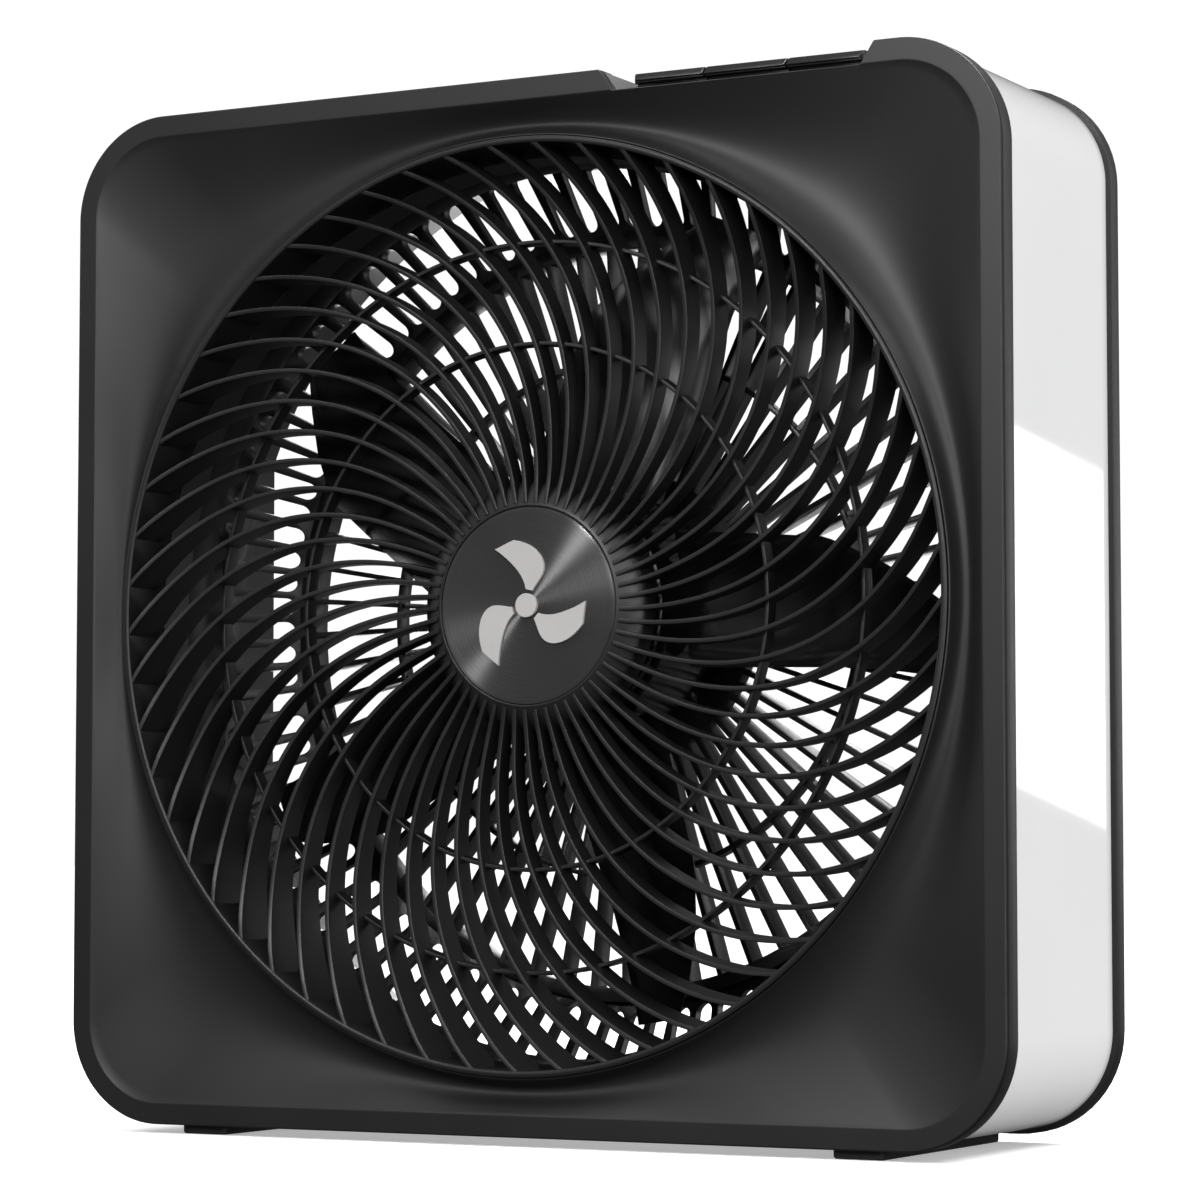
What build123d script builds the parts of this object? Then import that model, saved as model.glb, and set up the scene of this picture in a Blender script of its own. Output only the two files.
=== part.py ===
from build123d import *
import os
from math import cos, degrees, radians, sin

os.makedirs("parts", exist_ok=True)

# Box fan. Millimetres, +Z up, front faces -Y, origin on the resting surface below the middle of the body.
# "Depth" below is always measured back from the flat front border.

# Driving dimensions: body
WIDTH = 340
DEPTH = 100
CORNER = 34
FOOT_HEIGHT = 3
AXIS_Z = FOOT_HEIGHT + WIDTH / 2
HALF = WIDTH / 2
WALL = 2.4
BORDER = 7.3
SHELL_INSET = 1.7
SCREW_XZ = 145

# Depths of the layers
FRAME_D = 9.2
FLANGE_D = 92.5
VALLEY_D = 8
DUCT_JOINT_D = 34
DUCT_END_D = 61
RIM_END_D = 94

# Front guard
GUARD_R = 150.6
GUARD_BORE = 149.3
RIBS = 57
RIB_THICKNESS = 1.4
RIB_BACK_D = 17.5
SUPPORT_RADII = (85.2, 118.3)
SUPPORT_D = 12.2
DISC_D = 10.9
COLLAR_R = 41.6
COLLAR_RIM_R = 33
DISC_R = 32

# Air path
LIP_BORE = 151.3
THROAT_R = 147
VALLEY_HALF = 157.6
VALLEY_CORNER = 128
LIP_R = 153.5
LIP_D = 1.6
INTAKE_R = 162.6
INTAKE_HALF = 151

# Impeller
BLADES = 5
HUB_R = 43
HUB_D = 24
HUB_WALL = 2.5
TIP_R = 137.7
BLADE_THICKNESS = 2.2

# Rear grille
INNER_BARS = 65
OUTER_SLOTS = 102
BAR_THICKNESS = 1.7
PLATE_R = 47.3
BAND_IN_R = 125
BAND_OUT_R = 129.6
REAR_RING_R = 87.7
BARS_D = 78
BAR_DEPTH = 9
CONE_SLOPE = 0.7
SLOT_IN_R = 132.8
SLOT_OUT_R = 155.4

# Motor
MOTOR_R = 38
STATOR_BORE = 20.7
ROTOR_R = 20.2
SHAFT_R = 4
BEARING_GAP = 0.05

# Controls
PANEL_X = 80
NOTCH_TOP = 96.3
NOTCH_BOTTOM = 86.8
NOTCH_DEPTH = 7.5
POCKET_DEPTH = 6.6
CAP_WIDTHS = {"left": 24.8, "centre": 28.1, "right": 25.8}
CAP_GAP = 0.9
CAP_FRONT_D = 10
CAP_LENGTH = 18
CAP_HEIGHT = 5.1
CAP_WALL = 1.3
STEM_R = 2.2
BOARD_TOP = HALF - 20

fan_axis = Axis((0, 0, AXIS_Z), (0, 1, 0))
turned = Plane(origin=(0, -DEPTH / 2, AXIS_Z), x_dir=(0, 1, 0), z_dir=(1, 0, 0))


def face_at(depth):
    """Plane across the fan axis: local x is +X, local y is +Z, normal towards the front."""
    return Plane(origin=(0, depth - DEPTH / 2, AXIS_Z), x_dir=(1, 0, 0), z_dir=(0, -1, 0))


def level_at(height):
    """Horizontal plane above the fan axis: local x is +X, local y is the depth."""
    return Plane(origin=(0, -DEPTH / 2, AXIS_Z + height), x_dir=(1, 0, 0), z_dir=(0, 0, 1))


def save(piece, name):
    """Label a finished piece and write its file."""
    piece.part.label = name
    export_step(piece.part, f"parts/{name}.step")


def rounded_square(half, radius, mode=Mode.ADD):
    """Square of the body's outline family, centred on the fan axis."""
    return RectangleRounded(2 * half, 2 * half, radius, mode=mode)


def polar(radius, angle):
    return (radius * cos(radians(angle)), radius * sin(radians(angle)))


def spiral_angle(radius):
    """Sweep of a guard rib, in degrees, as it runs outwards from the hub."""
    run = (radius - 44.2) / WIDTH
    return 4.1 + 43 * run + 203 * run**2


def rib_edge(side):
    """Five points along one side of a guard rib, at half its thickness from the middle line."""
    points = []
    for step in range(5):
        radius = COLLAR_RIM_R + 0.8 + (GUARD_BORE + 0.5 - COLLAR_RIM_R) * step / 4
        lean = radians(43 + 406 * (radius - 44.2) / WIDTH) * radius / WIDTH
        shift = side * RIB_THICKNESS / 2 * (1 + lean**2) ** 0.5
        points.append(polar(radius, spiral_angle(radius) + degrees(shift / radius)))
    return points


# ---------------------------------------------------------------- front bezel
CREASE = HALF - BORDER

with BuildPart() as dish_air:
    with BuildSketch(face_at(0)):
        rounded_square(CREASE, CORNER - BORDER)
    with BuildSketch(face_at(4)):
        rounded_square(CREASE - 2.6, 68)
    with BuildSketch(face_at(VALLEY_D)):
        rounded_square(VALLEY_HALF, VALLEY_CORNER)
    loft()

with BuildPart() as dish_back:
    with BuildSketch(face_at(WALL)):
        rounded_square(CREASE + 1.2, CORNER - BORDER + 1.2)
    with BuildSketch(face_at(4 + WALL)):
        rounded_square(CREASE - 1.2, 69)
    with BuildSketch(face_at(VALLEY_D + WALL)):
        rounded_square(VALLEY_HALF + 1, VALLEY_CORNER + 1)
    loft()

# ramp that climbs from the valley to the lip round the guard
with BuildPart() as lip_ramp:
    with BuildSketch(face_at(LIP_D)):
        rounded_square(LIP_R, LIP_R - 0.1)
    with BuildSketch(face_at(4.4)):
        rounded_square(LIP_R + 1.4, LIP_R - 1)
    with BuildSketch(face_at(VALLEY_D)):
        rounded_square(VALLEY_HALF, VALLEY_CORNER)
    loft()
    with BuildSketch(face_at(VALLEY_D)):
        rounded_square(VALLEY_HALF, VALLEY_CORNER)
    extrude(amount=-WALL)

with BuildPart() as bezel_cavity:
    with BuildSketch(face_at(WALL)):
        rounded_square(HALF - WALL, CORNER - WALL)
    extrude(amount=WALL - FRAME_D)
    add(dish_back.part, mode=Mode.SUBTRACT)

SKIRT = HALF - SHELL_INSET - WALL - 0.25

with BuildPart() as front_bezel:
    with BuildSketch(face_at(0)):
        rounded_square(HALF, CORNER)
    extrude(amount=-FRAME_D)
    add(bezel_cavity.part, mode=Mode.SUBTRACT)
    # screw bosses in the four corners
    with BuildSketch(face_at(WALL)):
        with GridLocations(2 * SCREW_XZ, 2 * SCREW_XZ, 2, 2):
            Circle(4.5)
    extrude(amount=WALL - 24)
    # dished face with the ramp round the guard
    add(dish_air.part, mode=Mode.SUBTRACT)
    add(lip_ramp.part)
    # shadow groove just behind the front edge
    with BuildSketch(face_at(0.6)):
        rounded_square(HALF + 1, CORNER + 1)
        rounded_square(HALF - 0.5, CORNER - 0.5, Mode.SUBTRACT)
    extrude(amount=-1.2, mode=Mode.SUBTRACT)
    # skirt that enters the side shell
    with BuildSketch(face_at(FRAME_D - WALL)):
        rounded_square(HALF - 1, CORNER - 1)
        rounded_square(SKIRT - WALL, CORNER - SHELL_INSET - 2 * WALL, Mode.SUBTRACT)
    extrude(amount=-WALL)
    with BuildSketch(face_at(FRAME_D)):
        rounded_square(SKIRT, CORNER - SHELL_INSET - WALL)
        rounded_square(SKIRT - WALL, CORNER - SHELL_INSET - 2 * WALL, Mode.SUBTRACT)
    extrude(amount=-8)
    # bore of the lip, and the front half of the air duct behind it
    with BuildSketch(face_at(0)):
        Circle(LIP_BORE)
    extrude(amount=-24, mode=Mode.SUBTRACT)
    with BuildSketch(turned):
        with BuildLine():
            Polyline(
                (VALLEY_D, LIP_BORE),
                (19.2, LIP_BORE),
                (19.2, THROAT_R),
                (DUCT_JOINT_D, THROAT_R),
                (DUCT_JOINT_D, THROAT_R + WALL),
                (22, THROAT_R + WALL),
                (20.5, LIP_BORE + WALL),
                (VALLEY_D, LIP_BORE + WALL),
                close=True,
            )
        make_face()
    revolve(axis=fan_axis)
    # notch for the buttons in the top edge
    with BuildSketch(face_at(-1)):
        with BuildLine():
            Polyline(
                (PANEL_X - NOTCH_TOP / 2 - 0.7, HALF + 1),
                (PANEL_X - NOTCH_BOTTOM / 2, HALF - NOTCH_DEPTH),
                (PANEL_X + NOTCH_BOTTOM / 2, HALF - NOTCH_DEPTH),
                (PANEL_X + NOTCH_TOP / 2 + 0.7, HALF + 1),
                close=True,
            )
        make_face()
    extrude(amount=-20, mode=Mode.SUBTRACT)
    # room for the control tray behind the front border
    with BuildSketch(face_at(WALL)):
        with Locations((PANEL_X, HALF - 4.5)):
            Rectangle(NOTCH_TOP - 2, 12)
    extrude(amount=-20, mode=Mode.SUBTRACT)
    # screw pilots
    with BuildSketch(face_at(24)):
        with GridLocations(2 * SCREW_XZ, 2 * SCREW_XZ, 2, 2):
            Circle(1.7)
    extrude(amount=13, mode=Mode.SUBTRACT)
save(front_bezel, "front_bezel")

# ---------------------------------------------------------------- front guard
with BuildPart() as rib:
    with BuildSketch(face_at(0)):
        with BuildLine():
            for edge in (rib_edge(1), rib_edge(-1)):
                ThreePointArc(edge[0], edge[1], edge[2])
                ThreePointArc(edge[2], edge[3], edge[4])
            Line(rib_edge(1)[0], rib_edge(-1)[0])
            Line(rib_edge(1)[-1], rib_edge(-1)[-1])
        make_face()
    extrude(amount=-RIB_BACK_D)
    # dished front edges: deep at the hub, flush at the ring
    with BuildSketch(turned):
        with BuildLine():
            Polyline(
                (10.8, 30),
                (11.3, 60),
                (9.2, 102),
                (6.2, 129),
                (2.9, 142.8),
                (0.9, GUARD_BORE + 1),
                (RIB_BACK_D + 1, GUARD_BORE + 1),
                (RIB_BACK_D + 1, 30),
                close=True,
            )
        make_face()
    revolve(axis=fan_axis, mode=Mode.INTERSECT)

with BuildPart() as front_grille:
    with BuildSketch(turned):
        # outer ring
        with BuildLine():
            Polyline(
                (0.9, GUARD_BORE),
                (0.7, GUARD_BORE + 0.4),
                (0.7, GUARD_R - 0.3),
                (0.9, GUARD_R),
                (19, GUARD_R),
                (19, THROAT_R + 0.6),
                (RIB_BACK_D, THROAT_R + 0.6),
                (RIB_BACK_D - 1.5, GUARD_BORE),
                close=True,
            )
        make_face()
    revolve(axis=fan_axis)
    with BuildSketch(turned):
        for radius in SUPPORT_RADII:
            with Locations(((SUPPORT_D + RIB_BACK_D) / 2, radius)):
                Rectangle(RIB_BACK_D - SUPPORT_D, 1.3)
    revolve(axis=fan_axis)
    with BuildSketch(turned):
        # hub collar with the seat of the disc
        with BuildLine():
            Polyline(
                (10.3, COLLAR_RIM_R),
                (11, COLLAR_RIM_R + 3),
                (13.4, COLLAR_R - 2),
                (16, COLLAR_R),
                (21, COLLAR_R),
                (21, COLLAR_R - 2),
                (15.4, COLLAR_R - 2),
                (15.4, 0),
                (13.4, 0),
                (13.4, DISC_R + 0.1),
                (10.6, DISC_R + 0.1),
                (10.3, DISC_R + 0.4),
                close=True,
            )
        make_face()
    revolve(axis=fan_axis)
    add([rib.part.rotate(fan_axis, -index * 360 / RIBS) for index in range(RIBS)])
    with BuildSketch(face_at(13)):
        with PolarLocations(20, 3):
            Circle(2.1)
    extrude(amount=-3, mode=Mode.SUBTRACT)
save(front_grille, "front_grille")

with BuildPart() as hub_disc:
    with BuildSketch(turned):
        with BuildLine():
            Polyline(
                (DISC_D, 0),
                (DISC_D, DISC_R - 0.4),
                (DISC_D + 0.4, DISC_R),
                (13.4, DISC_R),
                (13.4, 0),
                close=True,
            )
        make_face()
    revolve(axis=fan_axis)
    with BuildSketch(face_at(13)):
        with PolarLocations(20, 3):
            Circle(2)
    extrude(amount=-6)
save(hub_disc, "hub_disc")

with BuildPart() as hub_emblem:
    with BuildSketch(face_at(DISC_D)):
        Circle(4.6)
        with PolarLocations(12, 3, start_angle=90):
            SlotOverall(20, 9.5, rotation=20)
    extrude(amount=1)
save(hub_emblem, "hub_emblem")

with BuildPart() as disc_clips:
    with BuildSketch(face_at(15.4)):
        with PolarLocations(20, 3):
            Circle(4.2)
        with PolarLocations(20, 3):
            Circle(2.05, mode=Mode.SUBTRACT)
    extrude(amount=-0.6)
save(disc_clips, "disc_clips")

# ---------------------------------------------------------------- side shell
SHELL = HALF - SHELL_INSET
TRAY_WIDTH = 94.6
TRAY_BACK_D = 41

with BuildPart() as side_shell:
    with BuildSketch(face_at(FRAME_D)):
        rounded_square(SHELL, CORNER - SHELL_INSET)
        rounded_square(SHELL - WALL, CORNER - SHELL_INSET - WALL, Mode.SUBTRACT)
    extrude(amount=FRAME_D - FLANGE_D)
    with BuildSketch(level_at(HALF - 8)):
        with Locations((PANEL_X, (TRAY_BACK_D + 1) / 2)):
            Rectangle(TRAY_WIDTH + 0.2, TRAY_BACK_D + 1.2)
    extrude(amount=10, mode=Mode.SUBTRACT)
    # holes for the pegs of the foot bars
    with BuildSketch(level_at(-HALF)):
        with Locations((-119.3, 30), (-119.3, 72), (119.3, 30), (119.3, 72)):
            Circle(2.6)
    extrude(amount=6, mode=Mode.SUBTRACT)
save(side_shell, "side_shell")

# ---------------------------------------------------------------- air duct, rear half
HARNESS_D = 73
HARNESS_ANGLE = 60
harness_plane = Plane(
    origin=(0, HARNESS_D - DEPTH / 2, AXIS_Z),
    x_dir=(0, 1, 0),
    z_dir=(cos(radians(HARNESS_ANGLE)), 0, sin(radians(HARNESS_ANGLE))),
)

with BuildPart() as duct_bore:
    with BuildSketch(turned):
        with BuildLine():
            Line((DUCT_JOINT_D - 1, 0), (DUCT_JOINT_D - 1, THROAT_R))
            Line((DUCT_JOINT_D - 1, THROAT_R), (43, THROAT_R))
            Spline((43, THROAT_R), (53, 150.8), (58, INTAKE_R), tangents=((1, 0), (0, 1)))
            Line((58, INTAKE_R), (DUCT_END_D + 1, INTAKE_R))
            Line((DUCT_END_D + 1, INTAKE_R), (DUCT_END_D + 1, 0))
            Line((DUCT_END_D + 1, 0), (DUCT_JOINT_D - 1, 0))
        make_face()
    revolve(axis=fan_axis)
    with BuildSketch(face_at(0)):
        Rectangle(2 * INTAKE_HALF, 2 * INTAKE_HALF)
    extrude(amount=-DEPTH, mode=Mode.INTERSECT)

with BuildPart() as intake_duct:
    with BuildSketch(turned):
        with BuildLine():
            Line((DUCT_JOINT_D, 100), (DUCT_JOINT_D, THROAT_R + WALL))
            Line((DUCT_JOINT_D, THROAT_R + WALL), (41, THROAT_R + WALL))
            Spline((41, THROAT_R + WALL), (51, 153.2), (55.5, INTAKE_R + WALL), tangents=((1, 0), (0, 1)))
            Line((55.5, INTAKE_R + WALL), (DUCT_END_D, INTAKE_R + WALL))
            Line((DUCT_END_D, INTAKE_R + WALL), (DUCT_END_D, 100))
            Line((DUCT_END_D, 100), (DUCT_JOINT_D, 100))
        make_face()
    revolve(axis=fan_axis)
    with BuildSketch(face_at(0)):
        Rectangle(2 * (INTAKE_HALF + WALL), 2 * (INTAKE_HALF + WALL))
    extrude(amount=-DEPTH, mode=Mode.INTERSECT)
    add(duct_bore.part, mode=Mode.SUBTRACT)
save(intake_duct, "intake_duct")

# ---------------------------------------------------------------- rear housing
RIM_GAP = 0.25

with BuildPart() as rear_opening:
    with BuildSketch(face_at(DUCT_END_D - 4)):
        Circle(INTAKE_R + WALL + RIM_GAP)
    extrude(amount=-DEPTH)
    with BuildSketch(face_at(0)):
        Rectangle(2 * (INTAKE_HALF + WALL + RIM_GAP), 2 * (INTAKE_HALF + WALL + RIM_GAP))
    extrude(amount=-DEPTH * 2, mode=Mode.INTERSECT)

with BuildPart() as rear_housing:
    with BuildSketch(face_at(FLANGE_D)):
        rounded_square(HALF, CORNER)
        rounded_square(HALF - 6, CORNER - 6, Mode.SUBTRACT)
    extrude(amount=FLANGE_D - DEPTH)
    chamfer(rear_housing.faces().sort_by(Axis.Y)[-1].outer_wire().edges(), 1.2)
    with BuildSketch(face_at(FLANGE_D)):
        rounded_square(HALF - 5, CORNER - 5)
    extrude(amount=-WALL)
    # skirt that enters the side shell
    with BuildSketch(face_at(FLANGE_D)):
        rounded_square(SKIRT, CORNER - SHELL_INSET - WALL)
        rounded_square(SKIRT - WALL, CORNER - SHELL_INSET - 2 * WALL, Mode.SUBTRACT)
    extrude(amount=8)
    # collar round the end of the duct and the rim of the grille
    with BuildSketch(face_at(DUCT_END_D - 4)):
        Circle(INTAKE_R + 2 * WALL)
        Rectangle(2 * (INTAKE_HALF + 2 * WALL), 2 * (INTAKE_HALF + 2 * WALL), mode=Mode.INTERSECT)
    extrude(amount=DUCT_END_D - 4 - RIM_END_D - WALL)
    # tubes for the long screws
    with BuildSketch(face_at(24)):
        with GridLocations(2 * SCREW_XZ, 2 * SCREW_XZ, 2, 2):
            Circle(5)
    extrude(amount=24 - FLANGE_D)
    add(rear_opening.part, mode=Mode.SUBTRACT)
    with BuildSketch(face_at(20)):
        with GridLocations(2 * SCREW_XZ, 2 * SCREW_XZ, 2, 2):
            Circle(2.1)
    extrude(amount=-DEPTH, mode=Mode.SUBTRACT)
    with BuildSketch(face_at(FLANGE_D + WALL)):
        with GridLocations(2 * SCREW_XZ, 2 * SCREW_XZ, 2, 2):
            Circle(3.9)
    extrude(amount=2.6, mode=Mode.SUBTRACT)
    # seat of the inlet bush
    with BuildSketch(face_at(FLANGE_D - 1)):
        with Locations((-128, -156)):
            Circle(4.2)
    extrude(amount=-DEPTH, mode=Mode.SUBTRACT)
    # passage of the motor harness through the collar
    with BuildSketch(harness_plane):
        Circle(3.2)
    extrude(amount=INTAKE_R + 8, mode=Mode.SUBTRACT)
save(rear_housing, "rear_housing")

with BuildPart() as housing_screws:
    with BuildSketch(face_at(13)):
        with GridLocations(2 * SCREW_XZ, 2 * SCREW_XZ, 2, 2):
            Circle(1.65)
    extrude(amount=13 - FLANGE_D - 0.5)
    with BuildSketch(face_at(FLANGE_D)):
        with GridLocations(2 * SCREW_XZ, 2 * SCREW_XZ, 2, 2):
            Circle(3.6)
    extrude(amount=-2.6)
    with BuildSketch(face_at(FLANGE_D + 2.6)):
        with GridLocations(2 * SCREW_XZ, 2 * SCREW_XZ, 2, 2):
            Rectangle(4.6, 0.9)
            Rectangle(0.9, 4.6)
    extrude(amount=1.3, mode=Mode.SUBTRACT)
save(housing_screws, "housing_screws")

with BuildPart() as cord_bush:
    with BuildSketch(face_at(FLANGE_D - 3)):
        with Locations((-128, -156)):
            Circle(4.1)
            Circle(2.6, mode=Mode.SUBTRACT)
    extrude(amount=-6.5)
    with BuildSketch(face_at(FLANGE_D + WALL)):
        with Locations((-128, -156)):
            Circle(5.8)
            Circle(2.6, mode=Mode.SUBTRACT)
    extrude(amount=-1.6)
save(cord_bush, "cord_bush")

# ---------------------------------------------------------------- rear grille
with BuildPart() as rear_bar:
    with BuildSketch(face_at(BARS_D)):
        with Locations(((PLATE_R + BAND_IN_R) / 2 + 0.7, 0)):
            Rectangle(BAND_IN_R - PLATE_R, BAR_THICKNESS)
    extrude(amount=-BAR_DEPTH)

# cone of radial slots that climbs from the band to the end of the duct
CONE_TOP_D = BARS_D + 4.6

with BuildPart() as slotted_cone:
    with BuildSketch(turned):
        with BuildLine():
            Polyline(
                (CONE_TOP_D, BAND_OUT_R - 1),
                (CONE_TOP_D - CONE_SLOPE * (INTAKE_R + WALL - BAND_OUT_R + 1), INTAKE_R + WALL),
                (CONE_TOP_D - CONE_SLOPE * (INTAKE_R + WALL - BAND_OUT_R + 1) + 4, INTAKE_R + WALL),
                (CONE_TOP_D + 4, BAND_OUT_R - 1),
                close=True,
            )
        make_face()
    revolve(axis=fan_axis)
    with BuildSketch(face_at(0)):
        Rectangle(2 * (INTAKE_HALF + WALL), 2 * (INTAKE_HALF + WALL))
    extrude(amount=-DEPTH, mode=Mode.INTERSECT)
    with BuildSketch(face_at(DUCT_JOINT_D)):
        with PolarLocations((SLOT_IN_R + SLOT_OUT_R) / 2, OUTER_SLOTS, start_angle=0.39):
            SlotOverall(SLOT_OUT_R - SLOT_IN_R, 6)
    extrude(amount=-DEPTH / 2 - 10, mode=Mode.SUBTRACT)

# deep rim round the intake
with BuildPart() as intake_rim:
    with BuildSketch(face_at(DUCT_END_D)):
        Circle(INTAKE_R + WALL)
        Rectangle(2 * (INTAKE_HALF + WALL), 2 * (INTAKE_HALF + WALL), mode=Mode.INTERSECT)
    extrude(amount=DUCT_END_D - RIM_END_D)
    with BuildSketch(face_at(DUCT_END_D - 1)):
        Circle(INTAKE_R)
        Rectangle(2 * INTAKE_HALF, 2 * INTAKE_HALF, mode=Mode.INTERSECT)
    extrude(amount=-DEPTH, mode=Mode.SUBTRACT)

with BuildPart() as rear_grille:
    with BuildSketch(face_at(DUCT_END_D)):
        Circle(INTAKE_R + WALL)
    extrude(amount=DUCT_END_D - RIM_END_D)
    add(slotted_cone.part, mode=Mode.INTERSECT)
    add(intake_rim.part)
    with BuildSketch(face_at(BARS_D)):
        Circle(BAND_OUT_R)
        Circle(BAND_IN_R, mode=Mode.SUBTRACT)
    extrude(amount=-11)
    # inner bars, their ring and the plate that carries the motor
    with BuildSketch(face_at(BARS_D - 2)):
        Circle(REAR_RING_R + 0.8)
        Circle(REAR_RING_R - 0.8, mode=Mode.SUBTRACT)
    extrude(amount=-6)
    with BuildSketch(face_at(BARS_D)):
        Circle(PLATE_R + 1.5)
    extrude(amount=-6)
    add([rear_bar.part.rotate(fan_axis, (index + 0.26) * 360 / INNER_BARS) for index in range(INNER_BARS)])
    # air and screw holes of the plate
    with BuildSketch(face_at(BARS_D)):
        with PolarLocations(36, 12, start_angle=15):
            SlotOverall(12, 4)
        with PolarLocations(30, 4, start_angle=45):
            Circle(2.2)
        Circle(9)
    extrude(amount=-7, mode=Mode.SUBTRACT)
    # passage of the motor harness
    with BuildSketch(harness_plane):
        Circle(3.2)
    extrude(amount=INTAKE_R + 8, mode=Mode.SUBTRACT)
save(rear_grille, "rear_grille")

with BuildPart() as motor_cover:
    with BuildSketch(turned):
        with BuildLine():
            Polyline(
                (BARS_D + 6, 0),
                (BARS_D + 6, PLATE_R),
                (BARS_D + 11, PLATE_R - 1),
                (BARS_D + 14.5, PLATE_R - 6),
                (BARS_D + 15.5, PLATE_R - 14),
                (BARS_D + 15.5, 0),
                close=True,
            )
        make_face()
    revolve(axis=fan_axis)
    with BuildSketch(turned):
        with BuildLine():
            Polyline(
                (BARS_D + 6, 0),
                (BARS_D + 6, PLATE_R - 2),
                (BARS_D + 10.5, PLATE_R - 3),
                (BARS_D + 13, PLATE_R - 7),
                (BARS_D + 13.7, PLATE_R - 14),
                (BARS_D + 13.7, 0),
                close=True,
            )
        make_face()
    revolve(axis=fan_axis, mode=Mode.SUBTRACT)
    with BuildSketch(face_at(BARS_D + 10)):
        with PolarLocations(26, 24):
            SlotOverall(14, 2.4)
    extrude(amount=-8, mode=Mode.SUBTRACT)
save(motor_cover, "motor_cover")

# ---------------------------------------------------------------- motor, fixed pieces
STATOR_D = 50
STATOR_END_D = 66

with BuildPart() as stator_core:
    with BuildSketch(face_at(STATOR_D)):
        Circle(MOTOR_R - 1.6)
        Circle(STATOR_BORE, mode=Mode.SUBTRACT)
        with PolarLocations(27.5, 16):
            SlotOverall(9, 3.4, mode=Mode.SUBTRACT)
    extrude(amount=STATOR_D - STATOR_END_D)
save(stator_core, "stator_core")

with BuildPart() as stator_windings:
    for start in (STATOR_D - 5.2, STATOR_END_D + 0.2):
        with BuildSketch(face_at(start)):
            Circle(33)
            Circle(23, mode=Mode.SUBTRACT)
        extrude(amount=-5)
    fillet(stator_windings.edges().filter_by(GeomType.CIRCLE), 2)
save(stator_windings, "stator_windings")

with BuildPart() as motor_front_bell:
    with BuildSketch(turned):
        with BuildLine():
            Polyline(
                (40, 5),
                (40, 28),
                (44, MOTOR_R),
                (58, MOTOR_R),
                (58, MOTOR_R - 1.5),
                (STATOR_D, MOTOR_R - 1.5),
                (STATOR_D, MOTOR_R - 3.2),
                (45.5, MOTOR_R - 3.2),
                (42, 27),
                (42, 13),
                (48, 13),
                (48, 8.1),
                (41.2, 8.1),
                (41.2, 5),
                close=True,
            )
        make_face()
    revolve(axis=fan_axis)
    with BuildSketch(face_at(38)):
        with PolarLocations(21, 12):
            SlotOverall(11, 3)
    extrude(amount=-5, mode=Mode.SUBTRACT)
save(motor_front_bell, "motor_front_bell")

with BuildPart() as motor_rear_bell:
    with BuildSketch(turned):
        with BuildLine():
            Polyline(
                (BARS_D, 5),
                (BARS_D, 30),
                (74, MOTOR_R),
                (58.2, MOTOR_R),
                (58.2, MOTOR_R - 1.5),
                (STATOR_END_D, MOTOR_R - 1.5),
                (STATOR_END_D, MOTOR_R - 3.2),
                (73, MOTOR_R - 3.2),
                (76, 29),
                (76, 13),
                (70, 13),
                (70, 8.1),
                (76.8, 8.1),
                (76.8, 5),
                close=True,
            )
        make_face()
    revolve(axis=fan_axis)
    with BuildSketch(face_at(75)):
        with PolarLocations(30, 4, start_angle=45):
            Circle(1.8)
    extrude(amount=-5, mode=Mode.SUBTRACT)
    with BuildSketch(face_at(75)):
        with PolarLocations(21, 12, start_angle=15):
            SlotOverall(11, 3)
    extrude(amount=-5, mode=Mode.SUBTRACT)
save(motor_rear_bell, "motor_rear_bell")

with BuildPart() as front_bearing:
    with BuildSketch(face_at(41.2)):
        Circle(8.1)
        Circle(SHAFT_R + BEARING_GAP, mode=Mode.SUBTRACT)
    extrude(amount=-6.8)
save(front_bearing, "front_bearing")

with BuildPart() as rear_bearing:
    with BuildSketch(face_at(70)):
        Circle(8.1)
        Circle(SHAFT_R + BEARING_GAP, mode=Mode.SUBTRACT)
    extrude(amount=-6.8)
save(rear_bearing, "rear_bearing")

with BuildPart() as motor_screws:
    with BuildSketch(face_at(75.2)):
        with PolarLocations(30, 4, start_angle=45):
            Circle(1.75)
    extrude(amount=75.2 - BARS_D - 6)
    with BuildSketch(face_at(BARS_D + 6)):
        with PolarLocations(30, 4, start_angle=45):
            Circle(3.6)
    extrude(amount=-2.4)
save(motor_screws, "motor_screws")

# ---------------------------------------------------------------- turning group
with BuildPart() as shaft:
    with BuildSketch(face_at(HUB_D - 5)):
        Circle(SHAFT_R)
    extrude(amount=HUB_D - 5 - 76.5)
    chamfer(shaft.faces().sort_by(Axis.Y)[0].edges(), 0.6)
save(shaft, "shaft")

with BuildPart() as rotor_core:
    with BuildSketch(face_at(STATOR_D - 0.5)):
        Circle(ROTOR_R)
        Circle(SHAFT_R, mode=Mode.SUBTRACT)
    extrude(amount=STATOR_D - STATOR_END_D - 1)
    for start in (STATOR_D - 1.8, STATOR_END_D + 0.5):
        with BuildSketch(face_at(start)):
            Circle(ROTOR_R - 1.2)
            Circle(ROTOR_R - 6, mode=Mode.SUBTRACT)
        extrude(amount=-1.3)
save(rotor_core, "rotor_core")

with BuildPart() as shaft_collar:
    with BuildSketch(face_at(68)):
        Circle(6.5)
        Circle(SHAFT_R, mode=Mode.SUBTRACT)
    extrude(amount=-1.5)
save(shaft_collar, "shaft_collar")


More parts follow.
